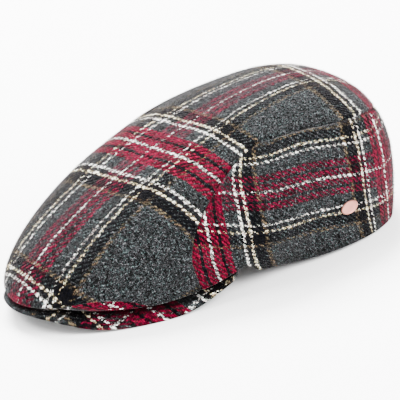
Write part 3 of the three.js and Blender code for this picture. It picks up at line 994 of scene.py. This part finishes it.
def make_tartan():
    """Woollen twill tartan from a cloth position in millimetres.

    It gives the colour, the height for the bump, the fibre for the roughness, and how flecked the
    yarn is.
    """
    group, w, given, result = new_tree(
        "tartan_twill", "ShaderNodeTree",
        {"Cloth": "Vector", "Yarn": "Float", "Cross cover": "Float", "Fray": "Float"},
        {"Color": "Color", "Height": "Float", "Fibre": "Float", "Fleck": "Float"})
    cloth = given["Cloth"]
    split = w.node("ShaderNodeSeparateXYZ", {0: cloth})

    def drift(axis, seed):
        """Cloth position counted in yarns, which wander a little."""
        slow = w.noise(w.shifted(cloth, seed), scale=0.1, detail=1.0)
        quick = w.noise(w.shifted(cloth, seed + 40), scale=0.42, detail=1.0)
        moved = w.plus(w.scaled(slow, BROAD_DRIFT, -BROAD_DRIFT / 2),
                       w.scaled(quick, FINE_DRIFT, -FINE_DRIFT / 2))
        return w.math("DIVIDE", w.plus(split.outputs[axis], moved), given["Yarn"])
    across, along = drift(0, 0.0), drift(1, 90.0)
    long_yarn, cross_yarn = w.math("FLOOR", across), w.math("FLOOR", along)
    long_colour, long_fleck = stripe_ramp(w, w.plus(long_yarn, 0.5), LONG_STRIPES)
    cross_colour, cross_fleck = stripe_ramp(w, w.plus(cross_yarn, 0.5), STRIPES)

    def sunk(fleck):
        """How low a yarn lies in the cloth, up to 1."""
        return w.math("MINIMUM", w.times(fleck, 1.43), 1.0)

    def yarn(value, number, other, phase, seed, fleck):
        """Height of a yarn that floats over two and under two, and a chance value for each float."""
        step = w.minus(w.minus(other, number), phase)
        float_number = w.math("FLOOR", w.scaled(step, 0.25, 0.5))
        chance = w.node("ShaderNodeTexWhiteNoise", {"Vector": w.vector(number, float_number, seed)},
                        noise_dimensions="3D").outputs[0]
        wave = w.math("COSINE", w.times(step, math.pi / 2))
        off = w.minus(w.minus(value, number), 0.5)
        arch = w.math("MAXIMUM", w.scaled(w.times(off, off), -STRAND_ROUND, 1.0), 0.03)
        rise = w.scaled(w.minus(chance, 0.5), STRAND_CHANCE, w.math("SQRT", arch))
        rise = w.scaled(sunk(fleck), -SINK, rise)
        return w.scaled(wave, STRAND_WAVE, rise), chance
    long_height, long_chance = yarn(across, long_yarn, along, 0.0, 1.0, long_fleck)
    cross_height, cross_chance = yarn(along, cross_yarn, across, 3.0, 5.0, cross_fleck)
    cross_height = w.plus(cross_height, given["Cross cover"])
    loose = w.noise(w.shifted(cloth, 7.0), scale=1.15, roughness=0.6)
    loose = w.times(w.minus(loose, 0.5), w.times(given["Fray"], FRAY_REACH))
    cross_up = w.remap(w.minus(w.plus(cross_height, loose), long_height), -0.1, 0.1, 0.0, 1.0)

    def blend(first, second):
        """The lengthwise value, or the crosswise one where that yarn is on top."""
        return w.scaled(w.minus(second, first), cross_up, first)
    colour = w.mix(cross_up, long_colour, cross_colour)
    fleck = blend(long_fleck, cross_fleck)
    chance = blend(long_chance, cross_chance)
    long_place = w.vector(w.times(across, FINE_ACROSS), along, 1.0)
    cross_place = w.vector(across, w.times(along, FINE_ACROSS), 9.0)
    fibre = blend(w.noise(long_place, scale=2.0, detail=3.0, roughness=0.7),
                  w.noise(cross_place, scale=2.0, detail=3.0, roughness=0.7))

    # Painted shade in the hollows between yarns, least so in the red.
    top = w.math("MAXIMUM", long_height, cross_height)
    deepest = w.remap(fleck, 0.28, 0.36, 0.22, 0.03)
    painted_hollow_shade = w.remap(w.scaled(sunk(fleck), SINK, top), 1.0, 1.75, deepest, 1.1)

    # Light and dark fibre mixed in the yarn, a hue that varies a little, and broad uneven wear.
    specks = w.node("ShaderNodeTexVoronoi", {"Scale": 1.5, "Vector": cloth}, voronoi_dimensions="2D")
    speck = w.node("ShaderNodeSeparateColor", {0: specks.outputs["Color"]}).outputs[0]
    grain = w.scaled(chance, FLOAT_CONTRAST, -FLOAT_CONTRAST / 2)
    grain = w.scaled(w.minus(fibre, 0.5), FIBRE_CONTRAST, grain)
    grain = w.times(w.plus(grain, w.scaled(speck, SPECK_CONTRAST, -SPECK_LOSS)), fleck)
    tint = w.noise(w.vector(across, along, 4.0), scale=0.8, detail=1.0)
    tint = w.remap(tint, 0.42, 0.58, 0.0, 1.0)
    hue = w.mix(tint, (0.8, 1.06, 1.04, 1), (1.16, 0.94, 1.04, 1))
    colour = w.mix(fleck, colour, w.mix(1.0, colour, hue, "MULTIPLY"))
    broad = w.remap(w.noise(cloth, scale=0.035), 0.3, 0.7, 0.85, 1.15)
    # The colour is darkened by fibre, by the painted shade between yarns and by broad wear.
    colour = w.dimmed(colour, w.times(w.times(w.math("EXPONENT", grain), painted_hollow_shade), broad))

    def wisps(seed, scale):
        """Thin curling lines of stray fibre."""
        field = w.noise(w.shifted(cloth, seed), scale, detail=1.0)
        near = w.scaled(w.math("ABSOLUTE", w.minus(field, 0.5)), -WISP_THIN, 1.0)
        return w.math("MAXIMUM", near, 0.0)
    stray = w.math("MAXIMUM", wisps(13.0, 0.75), wisps(57.0, 0.9))
    patchy = w.noise(w.shifted(cloth, 21.0), scale=0.5, detail=1.0)
    patchy = w.remap(patchy, 0.4, 0.62, 0.0, WISP_COVER)
    stray = w.times(stray, w.remap(fleck, 0.3, 1.0, 0.2, 1.0))
    colour = w.mix(w.times(stray, patchy), colour, WISP)
    colour = w.mix(1.0, colour, BRIGHTEST, "DARKEN")
    w.feed(result, {"Color": colour, "Height": w.plus(top, w.times(fibre, 1.2)), "Fibre": fibre,
                    "Fleck": fleck})
    return group


def placed_tartan(w, tartan):
    """The tartan in a material, and the cloth position that it is drawn from."""
    place = w.node("ShaderNodeUVMap", uv_map="cloth").outputs[0]
    weave = w.node("ShaderNodeGroup", node_tree=tartan)
    w.feed(weave, {"Cloth": place, "Yarn": YARN, "Cross cover": CROSS_COVER, "Fray": FRAY})
    return weave.outputs, place


def cloth_material(name, tartan, paints_shade=False):
    """Tartan cloth; where asked, its colour is darkened by painted shade from the piece's own `shade`."""
    material, w, shader = new_material(name)
    weave, _ = placed_tartan(w, tartan)
    colour = weave["Color"]
    # Painted shade from the piece multiplies the colour.
    if paints_shade:
        colour = w.dimmed(colour, w.node("ShaderNodeAttribute", attribute_name="shade").outputs["Fac"])
    w.feed(shader, {"Base Color": colour,
                    "Roughness": w.remap(weave["Fibre"], 0.2, 0.8, 0.86, 1.0),
                    "Normal": w.bump(weave["Height"], BUMP_STRENGTH, BUMP_DEPTH),
                    "Specular IOR Level": DULL, "Sheen Weight": SHEEN, "Sheen Roughness": SHEEN,
                    "Sheen Tint": SHEEN_TINT})
    return material


def fuzz_material(tartan):
    """Loose fibre takes the colour of the yarn it stands on, and some of it is paler."""
    material, w, shader = new_material("wool_fuzz")
    weave, place = placed_tartan(w, tartan)
    lot = w.node("ShaderNodeTexWhiteNoise", {"Vector": place}, noise_dimensions="2D").outputs[0]
    pale = w.times(w.remap(lot, 0.8, 1.0, 0.0, 0.4), w.remap(weave["Fleck"], 0.3, 1.0, 0.1, 1.0))
    tuft = w.noise(w.stretched(place, (0.9, 0.1, 1.0)), scale=1.0)
    tuft = w.remap(tuft, 0.35, 0.65, -0.9, 0.7)
    light = w.math("EXPONENT", w.scaled(lot, 1.2, w.minus(tuft, 0.6)))
    colour = w.mix(pale, w.dimmed(weave["Color"], light), PALE_FIBRE)
    w.feed(shader, {"Base Color": w.mix(1.0, colour, BRIGHTEST, "DARKEN"),
                    "Roughness": w.remap(weave["Fibre"], 0.2, 0.8, 0.8, 1.0),
                    "Specular IOR Level": DULL})
    return material


def plate_material():
    """Rose-coloured metal, finely brushed."""
    material, w, shader = new_material("rose_metal")
    place = w.node("ShaderNodeTexCoord").outputs["Object"]
    brushed = w.noise(w.stretched(place, (1.0, 1.0, 14.0)), scale=420.0, detail=3.0, roughness=0.6)
    cloud = w.remap(w.noise(place, scale=160.0), 0.3, 0.7, 0.0, 1.0)
    w.feed(shader, {"Base Color": w.mix(cloud, srgb(146, 92, 82), srgb(168, 112, 98)),
                    "Roughness": w.remap(brushed, 0.3, 0.7, 0.3, 0.46), "Metallic": 0.9,
                    "Normal": w.bump(brushed, strength=0.15, distance=0.0001)})
    return material


# ---- fuzz: short loose fibres standing on the cloth ----

def make_fuzz_tree():
    """Fibres on the woolly faces: tapering strips that lean at random from upright."""
    tree, w, given, result = new_tree(
        "wool_fuzz", "GeometryNodeTree",
        {"Cloth": "Geometry", "Density": "Float", "Length": "Float", "Width": "Float",
         "Least lean": "Float", "Most lean": "Float", "Seed": "Int", "Wool": "Material"},
        {"Fibres": "Geometry"})

    def random(low, high, seed):
        made = w.node("FunctionNodeRandomValue", data_type="FLOAT")
        w.feed(made, {2: low, 3: high, "Seed": seed})
        return made.outputs[1]
    woolly = w.node("GeometryNodeInputNamedAttribute", data_type="BOOLEAN")
    w.feed(woolly, {"Name": "woolly"})
    spread = w.node("GeometryNodeDistributePointsOnFaces", distribute_method="RANDOM")
    w.feed(spread, {"Mesh": given["Cloth"], "Selection": woolly.outputs[0],
                    "Density": given["Density"], "Seed": given["Seed"]})

    strip = w.node("GeometryNodeMeshGrid", {"Size X": given["Width"], "Size Y": given["Length"],
                                            "Vertices X": 2, "Vertices Y": 2})
    corner = w.node("ShaderNodeSeparateXYZ", {0: w.node("GeometryNodeInputPosition").outputs[0]})
    share = w.plus(w.math("DIVIDE", corner.outputs[1], given["Length"]), 0.5)
    narrow = w.times(corner.outputs[0], w.scaled(share, -FIBRE_TAPER, 1.0))
    place = w.vector(narrow, 0.0, w.times(share, given["Length"]))
    upright = w.node("GeometryNodeSetPosition", {"Geometry": strip.outputs["Mesh"], "Position": place})

    turn = w.vector(random(given["Least lean"], given["Most lean"], 1), 0.0, random(0.0, 2 * math.pi, 2))
    lean = w.node("FunctionNodeEulerToRotation", {0: turn})
    stand = w.node("FunctionNodeRotateRotation", rotation_space="LOCAL")
    w.feed(stand, {0: spread.outputs["Rotation"], 1: lean.outputs[0]})
    size = random(0.5, 1.5, 3)
    fibres = w.node("GeometryNodeInstanceOnPoints",
                    {"Points": spread.outputs["Points"], "Instance": upright.outputs[0],
                     "Rotation": stand.outputs[0], "Scale": w.vector(size, size, size)})
    real = w.node("GeometryNodeRealizeInstances", {0: fibres.outputs[0]})
    coloured = w.node("GeometryNodeSetMaterial")
    w.feed(coloured, {"Geometry": real.outputs[0], "Material": given["Wool"]})
    w.feed(result, {0: coloured.outputs[0]})
    return tree


def make_fuzz(name, piece, tree, wool, seed):
    """Fuzz on a cloth piece, as a plain mesh of its own."""
    fuzz = add_object(name, piece.data)
    grow = fuzz.modifiers.new("fuzz", "NODES")
    grow.node_group = tree
    values = {"Density": FUZZ_DENSITY * 1e6, "Length": FUZZ_LENGTH / 1000, "Width": FUZZ_WIDTH / 1000,
              "Least lean": FUZZ_LEAN - FUZZ_STRAY, "Most lean": FUZZ_LEAN + FUZZ_STRAY,
              "Seed": seed, "Wool": wool}
    for socket in tree.interface.items_tree:
        if socket.in_out == "INPUT" and socket.name in values:
            grow[socket.identifier] = values[socket.name]
    depsgraph = bpy.context.evaluated_depsgraph_get()
    mesh = bpy.data.meshes.new_from_object(fuzz.evaluated_get(depsgraph), depsgraph=depsgraph)
    fuzz.modifiers.remove(grow)
    fuzz.data = mesh
    mesh.name = name
    rooted = mesh.attributes["cloth"]
    cloth = np.zeros((len(mesh.vertices), 2), np.float32)
    rooted.data.foreach_get("vector", cloth.ravel())
    mesh.attributes.remove(rooted)
    lay_cloth(mesh, cloth)
    return fuzz


# ---- making and placing ----

tartan = make_tartan()
crown_wool = cloth_material("crown_wool", tartan)
side_wool = cloth_material("side_wool", tartan)
# The peak's cloth carries painted shade along the crease under the lip.
peak_wool = cloth_material("peak_wool", tartan, paints_shade=True)

crown = make_top()
left = make_side("crown_side_left", False, 19.0)
right = make_side("crown_side_right", True, 31.0)
facings = [make_facing("lip_facing_left", False, 43.0), make_facing("lip_facing_right", True, 47.0)]
peak = make_peak()
plate = make_plate()
for piece, node, slot, material in (
        (crown, "top_panel", "crown_cloth", crown_wool),
        (left, "side_panel_left", "side_cloth", side_wool),
        (right, "side_panel_right", "side_cloth", side_wool),
        (peak, "peak", "peak_cloth", peak_wool),
        (plate, "badge", "plate_metal", plate_material())):
    piece.data.materials.append(material)
    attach(piece, "root")
    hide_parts(node)
for piece in facings:
    piece.data.materials.append(crown_wool)
    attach(piece, "root")
fuzz_tree, loose_wool = make_fuzz_tree(), fuzz_material(tartan)
for seed, piece, slot in ((1, crown, "crown_cloth"), (2, left, "side_cloth"),
                          (3, right, "side_cloth"), (4, peak, "peak_cloth")):
    fuzz = make_fuzz(piece.name + "_fuzz", piece, fuzz_tree, loose_wool, seed)
    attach(fuzz, "root")


# ---- floor, light and camera ----

def make_floor(half):
    mesh = bpy.data.meshes.new("floor")
    corners = [(-half, -half, 0), (half, -half, 0), (half, half, 0), (-half, half, 0)]
    mesh.from_pydata(corners, [], [(0, 1, 2, 3)])
    material, w, shader = new_material("pale_floor")
    w.feed(shader, {"Base Color": (0.9, 0.9, 0.9, 1), "Roughness": 0.9})
    mesh.materials.append(material)
    floor = add_object("floor", mesh)


def add_light(name, place, size, power, aim=(0.0, 0.0, 0.05)):
    light = bpy.data.lights.new(name, "AREA")
    light.shape = "DISK"
    light.size = size
    light.energy = power
    lamp = add_object(name, light)
    lamp.location = place
    lamp.rotation_euler = (Vector(aim) - Vector(place)).to_track_quat("-Z", "Y").to_euler()


make_floor(half=6.0)
add_light("key", (-0.7, -1.5, 2.6), size=1.6, power=160)
add_light("fill", (2.2, 1.2, 2.0), size=2.2, power=360)
add_light("back", (-1.7, 0.6, 2.3), size=1.8, power=680)
world = bpy.data.worlds.new("studio")
world.use_nodes = True
world.node_tree.nodes["Background"].inputs[0].default_value = (1, 1, 1, 1)
world.node_tree.nodes["Background"].inputs[1].default_value = 2.6
bpy.context.scene.world = world

camera = bpy.data.cameras.new("camera")
camera.sensor_width = 36
camera.lens = 323.15
camera.clip_start = 0.1
camera.clip_end = 60
view = add_object("camera", camera)
view.location = (1.9033, -1.1825, 1.0503)
view.rotation_euler = Euler([math.radians(a) for a in (65.482, 7.416, 54.571)], "XYZ")
bpy.context.scene.camera = view
